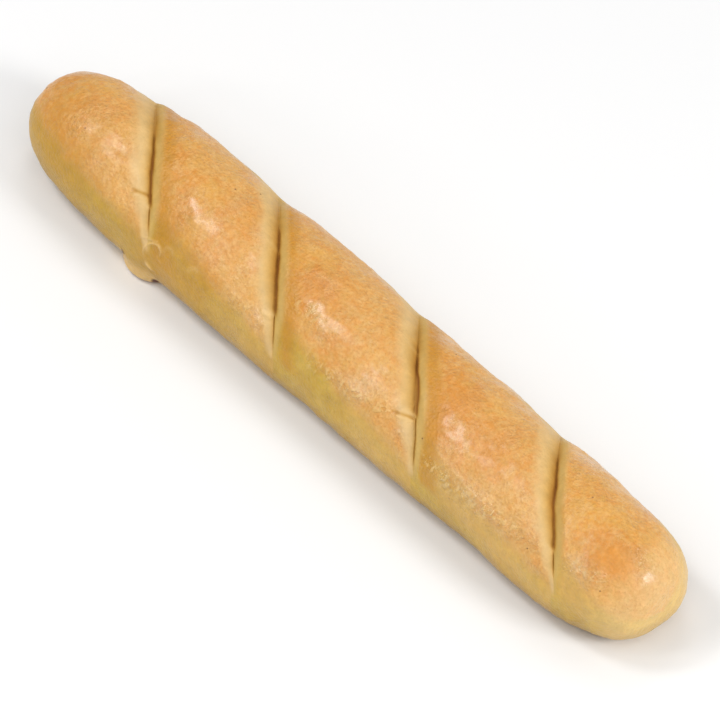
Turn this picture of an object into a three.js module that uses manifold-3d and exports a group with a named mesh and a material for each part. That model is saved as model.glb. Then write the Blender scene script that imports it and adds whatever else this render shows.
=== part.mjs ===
// A short baguette: one loaf of bread that rests on its flat underside.
// Millimetres, +Z up. The loaf lies along X with its blunt end towards +X, and the origin is at
// the middle of its underside. Four slashes cross the crown at an angle, a little foot of dough
// has run out at the base on the -Y side, and a burst blister sits above the foot.

import * as THREE from "three";
import { mergeVertices } from "three/addons/utils/BufferGeometryUtils.js";
import Module from "manifold-3d";

// Driving dimensions of the loaf.
const LENGTH = 370;
const WIDTH = 60;
const HEIGHT = 47.5;
const WAIST_SHARE = 0.42; // height of the widest level, as a share of the loaf's height
const BARREL = 0.065; // how much narrower the loaf would be at its ends without the end rounding
const BELLY_DROP = 1.2; // how far the lower half would reach below the floor, before it is flattened
const LOWER_SQUARENESS = 2.5; // 2 is an ellipse, and more is squarer

// Each end closes over a reach along X, on a curve whose two powers set how blunt it is.
const TAPERED_END = { reach: 83, along: 3.06, across: 3.12 };
const BLUNT_END = { reach: 52, along: 3.05, across: 3.21 };

// The slashes are nearly straight cuts in plan. CUT_SLOPE is how far a cut moves along X for each
// millimetre across the loaf. Each cut is placed by where it crosses the middle, and its bow is
// how far its two tips lie back towards -X. The crust sinks towards a cut on both sides, and
// swells to its brow on the +X side.
const CUT_SLOPE = 1.02;
const SLASHES = [
  { at: -121.5, depth: 4.0, sink: 1.3, brow: 1.3, bow: 1.3 },
  { at: -46.5, depth: 4.2, sink: 1.3, brow: 0.3, bow: 1.3 },
  { at: 37.5, depth: 4.0, sink: 1.3, brow: 0.2, bow: 1.2 },
  { at: 120.5, depth: 3.2, sink: 0.5, brow: 0.9, bow: -1.0 },
];
const BOW_REACH = 30; // along the loaf, over which the crust follows a cut's bow
const CUT_HALF_SPAN = 28.5; // across the loaf, from its middle to a cut's tip
const FAR_WALL = 6.0; // width of the broad wall of a cut, on its -X side
const NEAR_WALL = 4.0; // width of the steep wall of a cut, on its +X side
const WALL_FLARE = 1.5; // 1 is a plain V, and more rounds the shoulders over
const CUT_END_POWER = 3.2;
const SINK_REACH = 17; // from a cut to where the crust has nearly risen
const BROW_AT = 24; // from a cut to the top of its brow
const BROW_REACH = 17;

// The loaf isn't quite straight, and its lower flank swells a little below each cut.
const SWAY = 1.0;
const SWAY_LENGTH = 420;
const SWAY_CENTRE = -35;
const SWAY_START = -0.46;
const FLANK_SWELL = 0.7;
const FLANK_SWELL_REACH = 26;

// Slow unevenness of the hand-shaped dough.
const LUMP = 0.3;

// The foot of dough at the base, and the burst blister above it, both on the -Y side.
const FOOT = { at: -104, halfLength: 12.5, from: -17.5, reach: 10, height: 4.2, around: 28, up: 16 };
const BLISTER = { at: -92.5, angle: -1.36, radius: 3.7, rim: 0.85, sunk: 0.25, around: 24, sides: 8 };

// How finely the crust is divided, and how much closer together its stations lie towards the
// bottom of a cut and towards a tip, where 1 is even.
const AROUND = 48;
const STATION_GAP = 9;
const STATIONS_PER_WALL = 5;
const STATIONS_PER_END = 12;
const CUT_CROWDING = 1.25;
const TIP_CROWDING = 1.15;
const CLEAR_OF_CUT = 24; // from an outer cut to where the stations start to close in on the tip

const WAIST = HEIGHT * WAIST_SHARE;
const HALF = LENGTH / 2;
const CUT_LENGTHENING = Math.hypot(1, CUT_SLOPE);
const SQUARED_ENDS = 55; // over this length the rings turn from the cuts' slant to straight across
const CRUST_PASSES = 8; // rounds of placing a point, as its section depends on where it lands
const WELD = 1e-4;

/** A number held between 0 and 1. */
const unit = (value) => Math.min(1, Math.max(0, value));

/** A smooth step from 0 to 1. */
const smooth = (value) => unit(value) ** 2 * (3 - 2 * unit(value));

/** How much of its full section the loaf keeps at a distance from one of its ends. */
function endShare(distance, end) {
  const along = (1 - unit(distance / end.reach)) ** end.along;
  return (1 - along) ** (1 / end.across);
}

/** The share of the full section that the loaf has at x. */
function sectionShare(x) {
  const barrel = 1 - BARREL * (x / HALF) ** 2;
  return barrel * endShare(HALF + x, TAPERED_END) * endShare(HALF - x, BLUNT_END);
}

/** How far across the loaf's middle line strays at x. */
function sway(x) {
  const turn = (2 * Math.PI * (x - SWAY_CENTRE)) / SWAY_LENGTH;
  return SWAY_START + SWAY * Math.cos(turn) * smooth((HALF - Math.abs(x)) / SQUARED_ENDS);
}

/** How far a ring of crust at a station is drawn back towards -X where it meets the tips of a cut. */
function bow(station) {
  let drawn = 0;
  for (const slash of SLASHES) {
    drawn += slash.bow * Math.exp(-(((station - slash.at) / BOW_REACH) ** 2));
  }
  return drawn;
}

/** The slow lumps of the dough, which are the same all round at the tips. */
function lumps(x, angle) {
  const first = Math.sin(x / 11 + 2.1 * Math.sin(angle + 0.6));
  const second = Math.sin(x / 17 - 1.7 * Math.cos(2 * angle) + 1.3);
  return LUMP * first * second;
}

/** How deep the crust lies below its full section, in the cuts and near them. */
function sinking(station, across, upward) {
  let depth = 0;
  for (const slash of SLASHES) {
    const off = station - slash.at;
    const wall = (off < 0 ? FAR_WALL : NEAR_WALL) * CUT_LENGTHENING;
    const opening = unit(1 - Math.abs(off) / wall) ** WALL_FLARE;
    const along = 1 - unit(Math.abs(across) / CUT_HALF_SPAN) ** CUT_END_POWER;
    depth += (slash.depth - slash.sink) * opening * along;
    depth += slash.sink * Math.exp(-((off / SINK_REACH) ** 2));
    depth -= slash.brow * Math.exp(-(((off - BROW_AT) / BROW_REACH) ** 2));
  }
  return depth * smooth(0.35 + upward);
}

/** The swelling of the lower flank below each cut. */
function flankSwell(x, upward) {
  let swell = 0;
  for (const slash of SLASHES) {
    swell += FLANK_SWELL * Math.exp(-(((x - slash.at - 5) / FLANK_SWELL_REACH) ** 2));
  }
  return swell * smooth(1 - 1.6 * Math.abs(upward + 0.35));
}

/**
 * A point of the crust. The station runs along the loaf, on a ring that is slanted as the cuts
 * are, and the angle runs round it from the crown, towards +Y first.
 */
function crustPoint(station, angle) {
  const slant = CUT_SLOPE * smooth((HALF - Math.abs(station)) / SQUARED_ENDS);
  const sideways = Math.sin(angle);
  const upward = Math.cos(angle);
  const point = new THREE.Vector3(station, 0, WAIST);
  for (let pass = 0; pass < CRUST_PASSES; pass += 1) {
    const share = sectionShare(point.x);
    const power = upward < 0 ? 2 / LOWER_SQUARENESS : 1;
    const rise = upward < 0 ? -WAIST * BELLY_DROP : HEIGHT - WAIST;
    const across = (WIDTH / 2) * share * Math.sign(sideways) * Math.abs(sideways) ** power;
    const above = rise * share * Math.abs(upward) ** power;
    const raised = flankSwell(point.x, upward) + lumps(point.x, angle);
    const outward = raised * share - sinking(station, across, upward) * unit(2 * share);
    const scale = 1 + outward / Math.max(1, Math.hypot(across, above));
    point.y = across * scale;
    point.z = Math.max(0, WAIST + above * scale);
    point.x = station - slant * point.y - bow(station) * (point.y / CUT_HALF_SPAN) ** 2;
  }
  point.y += sway(point.x);
  return point;
}

/** Stations evenly spread between two others, without these two. */
function stationsBetween(start, end) {
  const steps = Math.max(1, Math.round((end - start) / STATION_GAP));
  const stations = [];
  for (let i = 1; i < steps; i += 1) {
    stations.push(start + ((end - start) * i) / steps);
  }
  return stations;
}

/** Stations from a place inside the loaf out towards a tip, closer together near the tip. */
function stationsToTip(inner, tip) {
  const stations = [];
  for (let i = 0; i < STATIONS_PER_END; i += 1) {
    const left = 1 - i / STATIONS_PER_END;
    stations.push(tip + (inner - tip) * (1 - Math.cos((left * Math.PI) / 2)) ** TIP_CROWDING);
  }
  return stations;
}

/** Stations across one cut, closer together at its bottom. */
function stationsAcross(slash) {
  const stations = [];
  for (let i = -STATIONS_PER_WALL; i <= STATIONS_PER_WALL; i += 1) {
    const wall = (i < 0 ? FAR_WALL : NEAR_WALL) * CUT_LENGTHENING;
    const share = Math.abs(i / STATIONS_PER_WALL) ** CUT_CROWDING;
    stations.push(slash.at + Math.sign(i) * wall * share);
  }
  return stations;
}

/** The stations that divide the loaf along its length, without its two tips. */
function crustStations() {
  const first = SLASHES[0].at - CLEAR_OF_CUT;
  const last = SLASHES.at(-1).at + CLEAR_OF_CUT;
  const stations = stationsToTip(first, -HALF).reverse();
  for (const slash of SLASHES) {
    const cut = stationsAcross(slash);
    stations.push(...stationsBetween(stations.at(-1), cut[0]), ...cut);
  }
  stations.push(...stationsBetween(stations.at(-1), last), ...stationsToTip(last, HALF));
  return stations;
}

/** Turns a three.js geometry into a solid that can be joined. */
function solidOf(geometry) {
  geometry.deleteAttribute("normal");
  geometry.deleteAttribute("uv");
  const merged = mergeVertices(geometry, WELD);
  const mesh = new kernel.Mesh({
    numProp: 3,
    vertProperties: new Float32Array(merged.attributes.position.array),
    triVerts: new Uint32Array(merged.index.array),
  });
  return new kernel.Manifold(mesh);
}

/** Turns a joined solid back into a three.js geometry. */
function geometryOf(solid) {
  const mesh = solid.getMesh();
  const geometry = new THREE.BufferGeometry();
  geometry.setAttribute("position", new THREE.BufferAttribute(mesh.vertProperties, 3));
  geometry.setIndex(new THREE.BufferAttribute(mesh.triVerts, 1));
  geometry.computeVertexNormals();
  return geometry;
}

/** Moves every vertex of a geometry by a function of its place. */
function reshape(geometry, move) {
  const places = geometry.attributes.position;
  const point = new THREE.Vector3();
  for (let i = 0; i < places.count; i += 1) {
    const moved = move(point.fromBufferAttribute(places, i));
    places.setXYZ(i, moved.x, moved.y, moved.z);
  }
  return geometry;
}

/** The loaf's crust: a plain tube of stations, closed at both tips, that takes the loaf's form. */
function crustGeometry() {
  const profile = [new THREE.Vector2(0, -HALF)];
  for (const station of crustStations()) {
    profile.push(new THREE.Vector2(1, station));
  }
  profile.push(new THREE.Vector2(0, HALF));
  const tube = new THREE.LatheGeometry(profile, AROUND);
  return reshape(tube, (place) => crustPoint(place.y, Math.atan2(-place.x, place.z)));
}

/** The foot: a flat tongue of dough that lies on the surface under the loaf. */
function footGeometry() {
  const tongue = new THREE.SphereGeometry(1, FOOT.around, FOOT.up);
  return reshape(tongue, (place) => {
    const x = FOOT.at + FOOT.halfLength * place.x;
    const y = FOOT.from + FOOT.reach * place.y;
    return place.set(x, y, Math.max(0, FOOT.height * place.z));
  });
}

/** The rim of the burst blister, half sunk in the crust. */
function blisterGeometry() {
  const ring = new THREE.TorusGeometry(BLISTER.radius, BLISTER.rim, BLISTER.sides, BLISTER.around);
  const station = BLISTER.at + CUT_SLOPE * crustPoint(BLISTER.at, BLISTER.angle).y;
  const centre = crustPoint(station, BLISTER.angle);
  const along = crustPoint(station + BLISTER.radius, BLISTER.angle).sub(centre);
  const round = crustPoint(station, BLISTER.angle + BLISTER.radius / WIDTH).sub(centre);
  const outward = new THREE.Vector3().crossVectors(round, along).normalize();
  const facing = new THREE.Quaternion().setFromUnitVectors(new THREE.Vector3(0, 0, 1), outward);
  const place = centre.addScaledVector(outward, -BLISTER.sunk);
  return ring.applyQuaternion(facing).translate(place.x, place.y, place.z);
}

/** Baked crust: a satin golden brown. */
function crustMaterial() {
  return new THREE.MeshStandardMaterial({ color: 0xd9a55f, roughness: 0.45, metalness: 0 });
}

/** The whole loaf as one solid: its crust with the foot and the blister's rim grown on. */
function loafMesh() {
  const dough = solidOf(crustGeometry()).add(solidOf(footGeometry())).add(solidOf(blisterGeometry()));
  const mesh = new THREE.Mesh(geometryOf(dough), crustMaterial());
  mesh.name = "loaf";
  return mesh;
}

const kernel = await Module();
kernel.setup();

const baguette = new THREE.Group();
baguette.add(loafMesh());

export default baguette;
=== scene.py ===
"""A short baguette: one closed crust with four slashes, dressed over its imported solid.

Sizes are in millimetres. Those of the main form are the solid's own, but for small moves of the
last two slashes. The loaf lies along X with its blunt end towards +X and its underside at z = 0.
Its crust is made of slanted rings: a point's station is its ring's place along the loaf, its
angle is its turn round that ring, from the crown towards +Y first, and across is its place
across the loaf. Everything that Blender gets is in metres.
"""

import logging
import math
from dataclasses import dataclass, replace
from enum import Enum
from typing import Any, Callable, Sequence

import bmesh
import bpy
import numpy as np
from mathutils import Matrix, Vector, noise


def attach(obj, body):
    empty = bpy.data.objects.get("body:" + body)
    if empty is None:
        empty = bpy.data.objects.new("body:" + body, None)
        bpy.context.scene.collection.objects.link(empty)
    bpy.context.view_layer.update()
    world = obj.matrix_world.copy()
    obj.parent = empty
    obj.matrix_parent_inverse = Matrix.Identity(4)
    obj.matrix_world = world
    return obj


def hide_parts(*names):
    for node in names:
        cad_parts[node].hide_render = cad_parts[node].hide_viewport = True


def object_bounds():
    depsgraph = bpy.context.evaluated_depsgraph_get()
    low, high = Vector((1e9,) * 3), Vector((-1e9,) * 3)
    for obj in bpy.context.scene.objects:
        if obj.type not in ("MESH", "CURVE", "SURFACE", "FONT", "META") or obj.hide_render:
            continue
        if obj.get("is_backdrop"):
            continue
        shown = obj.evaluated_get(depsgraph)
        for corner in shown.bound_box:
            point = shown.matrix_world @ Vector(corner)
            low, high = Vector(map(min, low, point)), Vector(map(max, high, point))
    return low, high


Array = np.ndarray
Triple = tuple[float, float, float]
MM = 0.001
LOG = logging.getLogger("baguette")

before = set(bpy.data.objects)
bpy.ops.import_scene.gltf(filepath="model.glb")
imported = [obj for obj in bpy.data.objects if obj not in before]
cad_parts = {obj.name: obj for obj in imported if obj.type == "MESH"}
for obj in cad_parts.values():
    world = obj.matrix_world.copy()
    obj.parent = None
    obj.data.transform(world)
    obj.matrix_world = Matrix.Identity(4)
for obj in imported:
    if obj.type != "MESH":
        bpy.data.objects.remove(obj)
CAD_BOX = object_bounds()


def unit(values: Array) -> Array:
    """Numbers held between 0 and 1."""
    return np.clip(values, 0.0, 1.0)


def smooth(values: Array) -> Array:
    """A smooth step from 0 to 1."""
    held = unit(values)
    return held**2 * (3 - 2 * held)


def rise(values: Array, start: float, reach: float) -> Array:
    """A smooth step from 0 at start to 1 a reach beyond it, which is negative where it falls."""
    return smooth((values - start) / reach)


def hump(values: Array, reach: float | Array, at: float = 0.0) -> Array:
    """A round hump that is 1 at one value and has nearly gone two reaches from it."""
    return np.exp(-(((values - at) / reach) ** 2))


def speckle(places: Array, size: float, seed: int) -> Array:
    """Soft noise between about -1 and 1.

    Args:
        places: Points in millimetres, one a row.
        size: Width of a lump in millimetres.
        seed: Picks another stretch of the noise.

    Returns:
        One number for each point.
    """
    start = Vector((7.3 * seed, -3.1 * seed, 1.7 * seed))
    scaled = (places / size).tolist()
    return np.array([noise.noise(Vector(place) + start) for place in scaled])


@dataclass(frozen=True)
class Points:
    """The crust's points, one a row: station, angle, across, and the places themselves."""

    station: Array
    angle: Array
    across: Array
    places: Array


@dataclass(frozen=True)
class LoafEnd:
    """How one end of the loaf closes: a reach along X and the two powers of its curve."""

    reach: float
    along: float
    across: float


@dataclass(frozen=True)
class Slash:
    """One slash across the crown, and the crack at its bottom.

    Depth, sink, brow and bow are the cut, the dip round it, the swelling beyond it and its curve
    in plan. Opens, darkest, pocket, tip and bridge are places across the loaf, from +Y to -Y.
    Gape, stain and amber are widths, and kink, crest and lean move the crack along X; stain is
    how far the crack's painted shade reaches.
    """

    at: float
    depth: float
    sink: float
    brow: float
    bow: float
    opens: float
    darkest: float
    pocket: float
    tip: float
    gape: float
    kink: float
    bridge: float
    crest: float
    lean: float
    shade_width: float
    amber: float


class Dress(Enum):
    """The masks that the crust's mesh carries for its finish."""

    BROWN = "brown"
    CREAM_WALL = "cream_wall"
    # The steep cut faces: the same dough as the cream faces, painted darker as shade.
    SHADED_WALL = "shaded_wall"
    AMBER = "amber"
    DEEP = "deep"
    # Pale patches, with painted light on the brows and painted sheen and highlights.
    BLOOM = "bloom_and_sheen"
    # Thin pale lifted skin, with painted glints and painted light.
    FLAKE_AND_GLINT = "flake_and_glint"
    # Painted shade in the cracks, along the creased folds and in the gap under the foot.
    CRACK_SHADE = "crack"
    TOAST = "toast"
    PALE = "pale"
    BASE = "base"
    UNDERSIDE = "underside"
    GLAZE = "glaze"
    CRAG = "crag"


@dataclass(frozen=True)
class LoafForm:
    """The loaf's main form."""

    length: float = 370.0
    width: float = 60.0
    height: float = 47.5
    waist_share: float = 0.42
    barrel: float = 0.065
    belly_drop: float = 1.2
    lower_squareness: float = 2.5
    tapered_end: LoafEnd = LoafEnd(83.0, 3.06, 3.12)
    blunt_end: LoafEnd = LoafEnd(52.0, 3.05, 3.21)
    cut_slope: float = 1.02
    slashes: tuple[Slash, ...] = (
        Slash(-121.5, 4, 1.3, 1.3, 1.3, 7, -11, -20.6, -28, 0.7, 0, 99, 0.6, -0.7, 1.8, 3.4),
        Slash(-46.5, 4.2, 1.3, 0.3, 1.3, 11, -8, -22, -30.2, 0.95, 0, -1.5, -1.4, -0.2, 3.2, 3.4),
        Slash(37.3, 4, 1.3, 0.2, 1.2, 10, -4, -17, -30, 0.75, 0.3, 5, 0, 1.4, 3.3, 5),
        Slash(122, 3.2, 0.5, 0.9, -1, 14, -5.3, -20.8, -27.8, 0.75, -0.6, 99, 0, -0.7, 3, -6),
    )
    bow_reach: float = 30.0
    cut_half_span: float = 28.5
    far_wall: float = 6.0
    near_wall: float = 4.0
    wall_flare: float = 1.5
    cut_end_power: float = 3.2
    sink_reach: float = 17.0
    brow_at: float = 24.0
    brow_reach: float = 17.0
    valley_reach: float = 8.0
    sway_size: float = 1.0
    sway_length: float = 420.0
    sway_centre: float = -35.0
    sway_start: float = -0.46
    flank_swell_size: float = 0.7
    flank_swell_reach: float = 26.0
    flank_swell_past: float = 5.0
    flank_swell_level: float = -0.35
    flank_swell_fall: float = 1.6
    lump: float = 0.3
    lump_length: float = 11.0
    cross_lump_length: float = 17.0
    topside_edge: float = -0.35
    squared_ends: float = 55.0
    passes: int = 8

    @property
    def waist(self) -> float:
        """Height of the widest level."""
        return self.height * self.waist_share

    @property
    def half(self) -> float:
        """Half the loaf's length."""
        return self.length / 2

    @property
    def cut_lengthening(self) -> float:
        """How much longer a cut's width is along X than straight across the cut."""
        return math.hypot(1, self.cut_slope)

    def end_share(self, distance: Array, end: LoafEnd) -> Array:
        """How much of its full section the loaf keeps at a distance from one of its ends."""
        along = (1 - unit(distance / end.reach)) ** end.along
        return (1 - along) ** (1 / end.across)

    def section_share(self, x: Array) -> Array:
        """The share of the full section that the loaf has at x."""
        body = 1 - self.barrel * (x / self.half) ** 2
        return (body * self.end_share(self.half + x, self.tapered_end)
                * self.end_share(self.half - x, self.blunt_end))

    def across(self, station: Array, angle: Array) -> Array:
        """Where points of the plain section lie across the loaf."""
        return self.width / 2 * np.sin(angle) * self.section_share(station)

    def inside(self, x: Array) -> Array:
        """How far inside the loaf's ends x is, from 0 to 1."""
        return rise(np.abs(x), self.half, -self.squared_ends)

    def topside(self, upward: Array) -> Array:
        """How much of the slashes a point takes, by the cosine of its angle, from 0 to 1."""
        return rise(upward, self.topside_edge, 1.0)

    def sway(self, x: Array) -> Array:
        """How far across the loaf's middle line strays at x."""
        turn = 2 * math.pi * (x - self.sway_centre) / self.sway_length
        return self.sway_start + self.sway_size * np.cos(turn) * self.inside(x)

    def bow(self, station: Array) -> Array:
        """How far a ring is drawn back towards -X where it meets the tips of a cut."""
        return sum(cut.bow * hump(station, self.bow_reach, cut.at) for cut in self.slashes)

    def lumps(self, x: Array, angle: Array) -> Array:
        """The slow lumps of the hand-shaped dough."""
        first = self.lump * np.sin(x / self.lump_length + 2.1 * np.sin(angle + 0.6))
        return first * np.sin(x / self.cross_lump_length - 1.7 * np.cos(2 * angle) + 1.3)

    def flank_swell(self, x: Array, upward: Array) -> Array:
        """The swelling of the lower flank below each cut."""
        swell = sum(hump(x - cut.at, self.flank_swell_reach, self.flank_swell_past)
                    for cut in self.slashes)
        return (self.flank_swell_size * swell
                * smooth(1 - self.flank_swell_fall * np.abs(upward - self.flank_swell_level)))

    def cut_span(self, across: Array) -> Array:
        """How open a cut is at a place across the loaf: 1 at the crown and 0 at its tips."""
        return 1 - unit(np.abs(across) / self.cut_half_span) ** self.cut_end_power

    def valley(self, cut: Slash, across: Array) -> Array:
        """How far a cut's bottom is a plain valley, on the far side of where its crack opens."""
        begins = rise(across - cut.opens, -self.valley_reach, self.valley_reach)
        return begins * self.cut_span(across)

    def sinking(self, station: Array, across: Array, upward: Array) -> Array:
        """How deep the crust lies below its full section, in the cuts and near them.

        Args:
            station: Each point's station.
            across: Its place across the loaf.
            upward: The cosine of its angle.

        Returns:
            Millimetres, one number a point.
        """
        depth = np.zeros_like(station)
        for cut in self.slashes:
            off = station - cut.at
            wall = np.where(off < 0, self.far_wall, self.near_wall) * self.cut_lengthening
            opening = unit(1 - np.abs(off) / wall) ** self.wall_flare
            depth += (cut.depth - cut.sink) * opening * self.cut_span(across)
            depth += cut.sink * hump(off, self.sink_reach)
            depth -= cut.brow * hump(off, self.brow_reach, self.brow_at)
        return depth * self.topside(upward)

    def place(self, station: Array, angle: Array,
              deeper: Callable[[Array, Array], Array] | None = None) -> Array:
        """Puts points on the crust.

        Args:
            station: Each point's station.
            angle: Its turn round its ring.
            deeper: A function of station and across that sinks the crust further, or None.

        Returns:
            The points in millimetres, one a row.
        """
        slant = self.cut_slope * self.inside(station)
        sideways = np.sin(angle)
        upward = np.cos(angle)
        power = np.where(upward < 0, 2 / self.lower_squareness, 1.0)
        full_rise = np.where(upward < 0, -self.waist * self.belly_drop, self.height - self.waist)
        reach_across = self.width / 2 * np.sign(sideways) * np.abs(sideways) ** power
        reach_above = full_rise * np.abs(upward) ** power
        x = station.copy()
        y = z = np.zeros_like(x)
        for _ in range(self.passes):
            share = self.section_share(x)
            across = reach_across * share
            above = reach_above * share
            raised = self.flank_swell(x, upward) + self.lumps(x, angle)
            sunk = self.sinking(station, across, upward)
            if deeper is not None:
                sunk = sunk + deeper(station, across) * self.topside(upward)
            outward = raised * share - sunk * unit(2 * share)
            scale = 1 + outward / np.maximum(1, np.hypot(across, above))
            y = across * scale
            z = np.maximum(0, self.waist + above * scale)
            x = station - slant * y - self.bow(station) * (y / self.cut_half_span) ** 2
        return np.stack([x, y + self.sway(x), z], axis=1)


@dataclass(frozen=True)
class Crack:
    """The crack where each slash's bottom tore, and the painted shade in and beside it."""

    depth: float = 0.5
    fade: float = 9.0
    narrowest: float = 0.55
    widening: float = 0.45
    wall_power: float = 0.9
    pocket_past: float = 0.6
    pocket_reach: float = 1.5
    pocket_width: float = 0.5
    pocket_depth: float = 0.5
    hair_depth: float = 0.7
    hair_width: float = 0.42
    hair_shade: float = 0.42
    hair_start: float = 0.7
    hair_fade: float = 1.2
    tip_fade: float = 3.0
    soft_side: float = 1.5
    sharp_side: float = 0.75
    kink_reach: float = 5.0
    crest_from: float = 4.0
    crest_reach: float = 10.0
    lean_reach: float = 9.0
    wander: float = 0.16
    wander_length: float = 2.3
    shiver: float = 0.6
    shiver_length: float = 0.95
    fullness: float = 0.75
    bridge_height: float = 0.35
    bridge_reach: float = 1.2
    darkest_reach: float = 9.0
    pocket_end: tuple[float, float] = (-0.9, 1.3)
    calm_from: float = 4.0
    calm_reach: float = 8.0
    # The painted shade in and beside the crack: its fade, edge, power and shares.
    shade_fade: float = 14.0
    shade_edge: float = 1.05
    shade_power: float = 1.1
    least_shade: float = 0.3
    pocket_shade: float = 0.8
    valley_shade: float = 0.45
    valley_power: float = 1.2
    valley_sides: tuple[float, float] = (3.2, 2.2)
    hair_sides: tuple[float, float] = (1.4, 0.6)

    def drift(self, cut: Slash, across: Array) -> Array:
        """How far the crack strays along X from the cut's own line.

        Args:
            cut: The slash that the crack is in.
            across: Places across the loaf.

        Returns:
            Millimetres, one number a place.
        """
        kink = cut.kink * hump(across, self.kink_reach, cut.darkest)
        kink += (cut.crest * rise(across, self.crest_from, self.crest_reach)
                 + cut.lean * rise(across, 0.0, -self.lean_reach))
        tremble = np.sin(across / self.wander_length + cut.at)
        tremble = tremble + self.shiver * np.sin(across / self.shiver_length - 2 * cut.at)
        calm = rise(across, cut.opens + self.calm_from, -self.calm_reach)
        return kink + self.wander * tremble * calm

    def opened(self, cut: Slash, across: Array) -> Array:
        """How far the crack gapes.

        Args:
            cut: The slash that the crack is in.
            across: Places across the loaf.

        Returns:
            A number from 0 to 1 for each place.
        """
        from_far = rise(across, cut.opens + self.fade / 2, -self.fade)
        to_pocket = rise(across - cut.pocket, *self.pocket_end)
        closed = self.bridge_height * hump(across, self.bridge_reach, cut.bridge)
        fuller = self.fullness + (1 - self.fullness) * hump(across, self.darkest_reach, cut.darkest)
        return from_far * to_pocket * fuller * (1 - closed)

    def pocket(self, cut: Slash, across: Array) -> Array:
        """How far the crack widens to the pocket that it ends in, from 0 to 1."""
        return hump(across - cut.pocket, self.pocket_reach, self.pocket_past)

    def hair(self, cut: Slash, across: Array) -> Array:
        """The hairline that carries on from the crack's pocket to the tip, from 0 to 1."""
        begins = rise(across, cut.pocket - self.hair_start, -self.hair_fade)
        return begins * rise(across, cut.tip, self.tip_fade)

    def profile(self, cut: Slash, off: Array, across: Array) -> Array:
        """The crack's depth.

        Args:
            cut: The slash that the crack is in.
            off: Distances along X from the crack's line.
            across: Places across the loaf.

        Returns:
            Millimetres, one number a place.
        """
        gape = self.opened(cut, across)
        pocket = self.pocket(cut, across)
        width = cut.gape * (self.narrowest + self.widening * gape) + self.pocket_width * pocket
        side = np.where(off < 0, self.soft_side, self.sharp_side)
        near = unit(1 - np.abs(off) / (width * side)) ** self.wall_power
        fine = unit(1 - np.abs(off) / self.hair_width)
        deep = self.depth * gape + self.pocket_depth * pocket
        return deep * near + self.hair_depth * self.hair(cut, across) * fine

    def shade(self, cut: Slash, off: Array, across: Array, valley: Array) -> Array:
        """How dark the crust is in and beside the crack: its darker crust and painted shade.

        Args:
            cut: The slash that the crack is in.
            off: Distances along X from the crack's line.
            across: Places across the loaf.
            valley: How far the cut's bottom is a plain valley, from 0 to 1.

        Returns:
            A number from 0 to 1 for each place.
        """
        far = off < 0
        fading = self.least_shade + (1 - self.least_shade) * rise(across, cut.tip, self.shade_fade)
        soft = np.exp(-((np.abs(off) / (cut.shade_width * fading)) ** self.shade_power))
        side = np.where(far, soft, hump(off, self.shade_edge))
        pocket = self.pocket_shade * self.pocket(cut, across)
        torn_and_shade = side * np.maximum(self.opened(cut, across), pocket)
        groove = np.abs(off) / np.where(far, *self.valley_sides)
        groove = np.exp(-(groove**self.valley_power))
        soft_hair, sharp_hair = self.hair_sides
        fine = np.where(far, np.exp(-np.abs(off) / soft_hair), hump(off, sharp_hair))
        thin = self.hair_shade * self.hair(cut, across) * fine
        return np.maximum.reduce([torn_and_shade, self.valley_shade * valley * groove, thin])


@dataclass(frozen=True)
class Shoulder:
    """The soft ledge where the browned top of each stretch ends above the paler flank.

    It starts at one angle from the crown just past a slash and comes down to another angle at
    the tip of the next one.
    """

    start: float = math.radians(47)
    end: float = math.radians(76)
    radius: float = 29.0
    swell: float = 0.26
    swell_at: float = -2.6
    swell_reach: float = 3.2
    groove: float = 0.24
    groove_at: float = 1.6
    groove_reach: float = 2.0
    clear_of_cuts: float = 7.0
    clear_of_ends: float = 40.0
    edge: float = 5.5


@dataclass(frozen=True)
class Foot:
    """The flat tongue of dough that has run out at the base on the -Y side."""

    at: float = -103.1
    half_length: float = 12.8
    squareness: float = 2.1
    middle: float = -17.5
    reach: float = 11.5
    height: float = 19.0
    top_power: int = 4
    rim_fade: float = 0.08
    flank_edge: float = -20.0
    drawn_from: float = -12.0
    blend: float = 1.0
    curl: float = 2.0
    curl_height: float = 3.2
    ground: float = 0.05
    lip: float = 0.25
    lip_at: float = 1.8
    lip_top: float = 12.0
    lip_fade: float = 9.0
    shadow: float = 0.7
    shadow_top: float = 1.1
    clean_reach: float = 16.0


@dataclass(frozen=True)
class Blister:
    """A burst blister: a thin round rim standing on the flank."""

    centre: Triple
    radius: float
    rim: float
    rim_width: float
    hollow: float
    lower_rim: float = 0.3
    long_way: Triple = (0.60, 0.20, 0.77)
    stretch: float = 1.6

    def away(self, places: Array) -> Array:
        """Distances from the centre, measured so that the rim comes out longer one way.

        Args:
            places: Points in millimetres, one a row.

        Returns:
            Millimetres, one number a point.
        """
        apart = places - np.array(self.centre)
        along = apart @ np.array(self.long_way)
        return np.sqrt(np.maximum(0, (apart**2).sum(axis=1) - along**2 * (1 - self.stretch**-2)))

    def upper(self, places: Array) -> Array:
        """How far a point is on the rim's upper side towards -X, from 0 to 1."""
        apart = places - np.array(self.centre)
        return smooth(0.55 + (0.6 * apart[:, 2] - 0.35 * apart[:, 0]) / self.radius)

    def relief(self, places: Array) -> Array:
        """How far the rim stands out and its middle lies in.

        Args:
            places: Points in millimetres, one a row.

        Returns:
            Millimetres, one number a point.
        """
        away = self.away(places)
        upper = self.lower_rim + (1 - self.lower_rim) * self.upper(places)
        rim = self.rim * upper * hump(away, self.rim_width, self.radius)
        return rim - self.hollow * smooth(1 - away / self.radius)


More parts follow.
